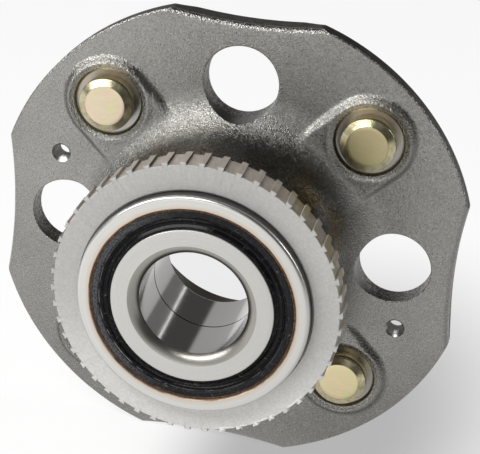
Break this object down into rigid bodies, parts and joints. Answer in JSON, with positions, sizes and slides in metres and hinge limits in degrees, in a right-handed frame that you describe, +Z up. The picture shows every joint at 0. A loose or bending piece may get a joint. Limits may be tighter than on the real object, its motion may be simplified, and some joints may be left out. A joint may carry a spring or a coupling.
{
  "type": "wheel hub bearing",
  "caption": "Rear wheel hub bearing: a studded flange on a turning outer ring with a toothed speed ring, running on two rows of balls and inner rings with a plain spindle bore.",
  "frame": {"origin": "on the bearing's axis, where the two inner rings meet, halfway along the spindle bore", "axes": "+Y along the axis to the wheel side, -Y to the knuckle side, which the picture shows, +Z up through an access hole, +X through the next access hole"},
  "size_m": [0.145, 0.0873, 0.145],
  "materials": {
    "flange_steel": "shot-blasted forged steel, turned on its faces",
    "sintered_steel": "matt sintered steel",
    "ring_steel": "ground and polished bearing steel",
    "ball_steel": "polished",
    "zinc_steel": "yellow zinc plating",
    "case_steel": "pressed sheet with light rust at its edge",
    "seal_rubber": "glossy black",
    "cage_polymer": "natural glass-filled nylon"
  },
  "bodies": {
    "inner_rings": {"inner_ring_inboard": "ring_steel", "inner_ring_outboard": "ring_steel"},
    "hub": {"hub_flange": "flange_steel", "tone_ring": "sintered_steel", "seal_case_inboard": "case_steel", "seal_lip_inboard": "seal_rubber", "seal_case_outboard": "case_steel", "seal_lip_outboard": "seal_rubber", "wheel_stud_1": "zinc_steel", "wheel_stud_2": "zinc_steel", "wheel_stud_3": "zinc_steel", "wheel_stud_4": "zinc_steel"},
    "cage_inboard": {"cage_inboard": "cage_polymer"},
    "cage_outboard": {"cage_outboard": "cage_polymer"},
    "ball_inboard_01": {"ball_inboard_01": "ball_steel"},
    "ball_inboard_02": {"ball_inboard_02": "ball_steel"},
    "ball_inboard_03": {"ball_inboard_03": "ball_steel"},
    "ball_inboard_04": {"ball_inboard_04": "ball_steel"},
    "ball_inboard_05": {"ball_inboard_05": "ball_steel"},
    "ball_inboard_06": {"ball_inboard_06": "ball_steel"},
    "ball_inboard_07": {"ball_inboard_07": "ball_steel"},
    "ball_inboard_08": {"ball_inboard_08": "ball_steel"},
    "ball_inboard_09": {"ball_inboard_09": "ball_steel"},
    "ball_inboard_10": {"ball_inboard_10": "ball_steel"},
    "ball_inboard_11": {"ball_inboard_11": "ball_steel"},
    "ball_inboard_12": {"ball_inboard_12": "ball_steel"},
    "ball_inboard_13": {"ball_inboard_13": "ball_steel"},
    "ball_inboard_14": {"ball_inboard_14": "ball_steel"},
    "ball_outboard_01": {"ball_outboard_01": "ball_steel"},
    "ball_outboard_02": {"ball_outboard_02": "ball_steel"},
    "ball_outboard_03": {"ball_outboard_03": "ball_steel"},
    "ball_outboard_04": {"ball_outboard_04": "ball_steel"},
    "ball_outboard_05": {"ball_outboard_05": "ball_steel"},
    "ball_outboard_06": {"ball_outboard_06": "ball_steel"},
    "ball_outboard_07": {"ball_outboard_07": "ball_steel"},
    "ball_outboard_08": {"ball_outboard_08": "ball_steel"},
    "ball_outboard_09": {"ball_outboard_09": "ball_steel"},
    "ball_outboard_10": {"ball_outboard_10": "ball_steel"},
    "ball_outboard_11": {"ball_outboard_11": "ball_steel"},
    "ball_outboard_12": {"ball_outboard_12": "ball_steel"},
    "ball_outboard_13": {"ball_outboard_13": "ball_steel"},
    "ball_outboard_14": {"ball_outboard_14": "ball_steel"}
  },
  "joints": [
    {"name": "hub_spin", "type": "hinge", "parent": "inner_rings", "child": "hub", "pos_m": [0, 0, 0], "axis": [0, 1, 0], "continuous": true},
    {"name": "cage_spin_inboard", "type": "hinge", "parent": "inner_rings", "child": "cage_inboard", "pos_m": [0, -0.00871, 0], "axis": [0, 1, 0], "continuous": true},
    {"name": "cage_spin_outboard", "type": "hinge", "parent": "inner_rings", "child": "cage_outboard", "pos_m": [0, 0.00871, 0], "axis": [0, 1, 0], "continuous": true},
    {"name": "ball_inboard_01_roll", "type": "hinge", "parent": "cage_inboard", "child": "ball_inboard_01", "pos_m": [0.02251, -0.00871, 0.01084], "axis": [-0.5547, 0.788, -0.2671], "continuous": true},
    {"name": "ball_inboard_02_roll", "type": "hinge", "parent": "cage_inboard", "child": "ball_inboard_02", "pos_m": [0.01558, -0.00871, 0.01953], "axis": [-0.3839, 0.788, -0.4813], "continuous": true},
    {"name": "ball_inboard_03_roll", "type": "hinge", "parent": "cage_inboard", "child": "ball_inboard_03", "pos_m": [0.00556, -0.00871, 0.02436], "axis": [-0.137, 0.788, -0.6002], "continuous": true},
    {"name": "ball_inboard_04_roll", "type": "hinge", "parent": "cage_inboard", "child": "ball_inboard_04", "pos_m": [-0.00556, -0.00871, 0.02436], "axis": [0.137, 0.788, -0.6002], "continuous": true},
    {"name": "ball_inboard_05_roll", "type": "hinge", "parent": "cage_inboard", "child": "ball_inboard_05", "pos_m": [-0.01558, -0.00871, 0.01953], "axis": [0.3839, 0.788, -0.4813], "continuous": true},
    {"name": "ball_inboard_06_roll", "type": "hinge", "parent": "cage_inboard", "child": "ball_inboard_06", "pos_m": [-0.02251, -0.00871, 0.01084], "axis": [0.5547, 0.788, -0.2671], "continuous": true},
    {"name": "ball_inboard_07_roll", "type": "hinge", "parent": "cage_inboard", "child": "ball_inboard_07", "pos_m": [-0.02498, -0.00871, 0], "axis": [0.6157, 0.788, 0], "continuous": true},
    {"name": "ball_inboard_08_roll", "type": "hinge", "parent": "cage_inboard", "child": "ball_inboard_08", "pos_m": [-0.02251, -0.00871, -0.01084], "axis": [0.5547, 0.788, 0.2671], "continuous": true},
    {"name": "ball_inboard_09_roll", "type": "hinge", "parent": "cage_inboard", "child": "ball_inboard_09", "pos_m": [-0.01558, -0.00871, -0.01953], "axis": [0.3839, 0.788, 0.4813], "continuous": true},
    {"name": "ball_inboard_10_roll", "type": "hinge", "parent": "cage_inboard", "child": "ball_inboard_10", "pos_m": [-0.00556, -0.00871, -0.02436], "axis": [0.137, 0.788, 0.6002], "continuous": true},
    {"name": "ball_inboard_11_roll", "type": "hinge", "parent": "cage_inboard", "child": "ball_inboard_11", "pos_m": [0.00556, -0.00871, -0.02436], "axis": [-0.137, 0.788, 0.6002], "continuous": true},
    {"name": "ball_inboard_12_roll", "type": "hinge", "parent": "cage_inboard", "child": "ball_inboard_12", "pos_m": [0.01558, -0.00871, -0.01953], "axis": [-0.3839, 0.788, 0.4813], "continuous": true},
    {"name": "ball_inboard_13_roll", "type": "hinge", "parent": "cage_inboard", "child": "ball_inboard_13", "pos_m": [0.02251, -0.00871, -0.01084], "axis": [-0.5547, 0.788, 0.2671], "continuous": true},
    {"name": "ball_inboard_14_roll", "type": "hinge", "parent": "cage_inboard", "child": "ball_inboard_14", "pos_m": [0.02498, -0.00871, 0], "axis": [-0.6157, 0.788, 0], "continuous": true},
    {"name": "ball_outboard_01_roll", "type": "hinge", "parent": "cage_outboard", "child": "ball_outboard_01", "pos_m": [0.02251, 0.00871, 0.01084], "axis": [0.5547, 0.788, 0.2671], "continuous": true},
    {"name": "ball_outboard_02_roll", "type": "hinge", "parent": "cage_outboard", "child": "ball_outboard_02", "pos_m": [0.01558, 0.00871, 0.01953], "axis": [0.3839, 0.788, 0.4813], "continuous": true},
    {"name": "ball_outboard_03_roll", "type": "hinge", "parent": "cage_outboard", "child": "ball_outboard_03", "pos_m": [0.00556, 0.00871, 0.02436], "axis": [0.137, 0.788, 0.6002], "continuous": true},
    {"name": "ball_outboard_04_roll", "type": "hinge", "parent": "cage_outboard", "child": "ball_outboard_04", "pos_m": [-0.00556, 0.00871, 0.02436], "axis": [-0.137, 0.788, 0.6002], "continuous": true},
    {"name": "ball_outboard_05_roll", "type": "hinge", "parent": "cage_outboard", "child": "ball_outboard_05", "pos_m": [-0.01558, 0.00871, 0.01953], "axis": [-0.3839, 0.788, 0.4813], "continuous": true},
    {"name": "ball_outboard_06_roll", "type": "hinge", "parent": "cage_outboard", "child": "ball_outboard_06", "pos_m": [-0.02251, 0.00871, 0.01084], "axis": [-0.5547, 0.788, 0.2671], "continuous": true},
    {"name": "ball_outboard_07_roll", "type": "hinge", "parent": "cage_outboard", "child": "ball_outboard_07", "pos_m": [-0.02498, 0.00871, 0], "axis": [-0.6157, 0.788, 0], "continuous": true},
    {"name": "ball_outboard_08_roll", "type": "hinge", "parent": "cage_outboard", "child": "ball_outboard_08", "pos_m": [-0.02251, 0.00871, -0.01084], "axis": [-0.5547, 0.788, -0.2671], "continuous": true},
    {"name": "ball_outboard_09_roll", "type": "hinge", "parent": "cage_outboard", "child": "ball_outboard_09", "pos_m": [-0.01558, 0.00871, -0.01953], "axis": [-0.3839, 0.788, -0.4813], "continuous": true},
    {"name": "ball_outboard_10_roll", "type": "hinge", "parent": "cage_outboard", "child": "ball_outboard_10", "pos_m": [-0.00556, 0.00871, -0.02436], "axis": [-0.137, 0.788, -0.6002], "continuous": true},
    {"name": "ball_outboard_11_roll", "type": "hinge", "parent": "cage_outboard", "child": "ball_outboard_11", "pos_m": [0.00556, 0.00871, -0.02436], "axis": [0.137, 0.788, -0.6002], "continuous": true},
    {"name": "ball_outboard_12_roll", "type": "hinge", "parent": "cage_outboard", "child": "ball_outboard_12", "pos_m": [0.01558, 0.00871, -0.01953], "axis": [0.3839, 0.788, -0.4813], "continuous": true},
    {"name": "ball_outboard_13_roll", "type": "hinge", "parent": "cage_outboard", "child": "ball_outboard_13", "pos_m": [0.02251, 0.00871, -0.01084], "axis": [0.5547, 0.788, -0.2671], "continuous": true},
    {"name": "ball_outboard_14_roll", "type": "hinge", "parent": "cage_outboard", "child": "ball_outboard_14", "pos_m": [0.02498, 0.00871, 0], "axis": [0.6157, 0.788, 0], "continuous": true}
  ],
  "couplings": [
    {"joint": "cage_spin_inboard", "follows": "hub_spin", "ratio": 0.57511},
    {"joint": "cage_spin_outboard", "follows": "hub_spin", "ratio": 0.57511},
    {"joint": "ball_inboard_01_roll", "follows": "hub_spin", "ratio": 2.5636},
    {"joint": "ball_inboard_02_roll", "follows": "hub_spin", "ratio": 2.5636},
    {"joint": "ball_inboard_03_roll", "follows": "hub_spin", "ratio": 2.5636},
    {"joint": "ball_inboard_04_roll", "follows": "hub_spin", "ratio": 2.5636},
    {"joint": "ball_inboard_05_roll", "follows": "hub_spin", "ratio": 2.5636},
    {"joint": "ball_inboard_06_roll", "follows": "hub_spin", "ratio": 2.5636},
    {"joint": "ball_inboard_07_roll", "follows": "hub_spin", "ratio": 2.5636},
    {"joint": "ball_inboard_08_roll", "follows": "hub_spin", "ratio": 2.5636},
    {"joint": "ball_inboard_09_roll", "follows": "hub_spin", "ratio": 2.5636},
    {"joint": "ball_inboard_10_roll", "follows": "hub_spin", "ratio": 2.5636},
    {"joint": "ball_inboard_11_roll", "follows": "hub_spin", "ratio": 2.5636},
    {"joint": "ball_inboard_12_roll", "follows": "hub_spin", "ratio": 2.5636},
    {"joint": "ball_inboard_13_roll", "follows": "hub_spin", "ratio": 2.5636},
    {"joint": "ball_inboard_14_roll", "follows": "hub_spin", "ratio": 2.5636},
    {"joint": "ball_outboard_01_roll", "follows": "hub_spin", "ratio": 2.5636},
    {"joint": "ball_outboard_02_roll", "follows": "hub_spin", "ratio": 2.5636},
    {"joint": "ball_outboard_03_roll", "follows": "hub_spin", "ratio": 2.5636},
    {"joint": "ball_outboard_04_roll", "follows": "hub_spin", "ratio": 2.5636},
    {"joint": "ball_outboard_05_roll", "follows": "hub_spin", "ratio": 2.5636},
    {"joint": "ball_outboard_06_roll", "follows": "hub_spin", "ratio": 2.5636},
    {"joint": "ball_outboard_07_roll", "follows": "hub_spin", "ratio": 2.5636},
    {"joint": "ball_outboard_08_roll", "follows": "hub_spin", "ratio": 2.5636},
    {"joint": "ball_outboard_09_roll", "follows": "hub_spin", "ratio": 2.5636},
    {"joint": "ball_outboard_10_roll", "follows": "hub_spin", "ratio": 2.5636},
    {"joint": "ball_outboard_11_roll", "follows": "hub_spin", "ratio": 2.5636},
    {"joint": "ball_outboard_12_roll", "follows": "hub_spin", "ratio": 2.5636},
    {"joint": "ball_outboard_13_roll", "follows": "hub_spin", "ratio": 2.5636},
    {"joint": "ball_outboard_14_roll", "follows": "hub_spin", "ratio": 2.5636}
  ]
}
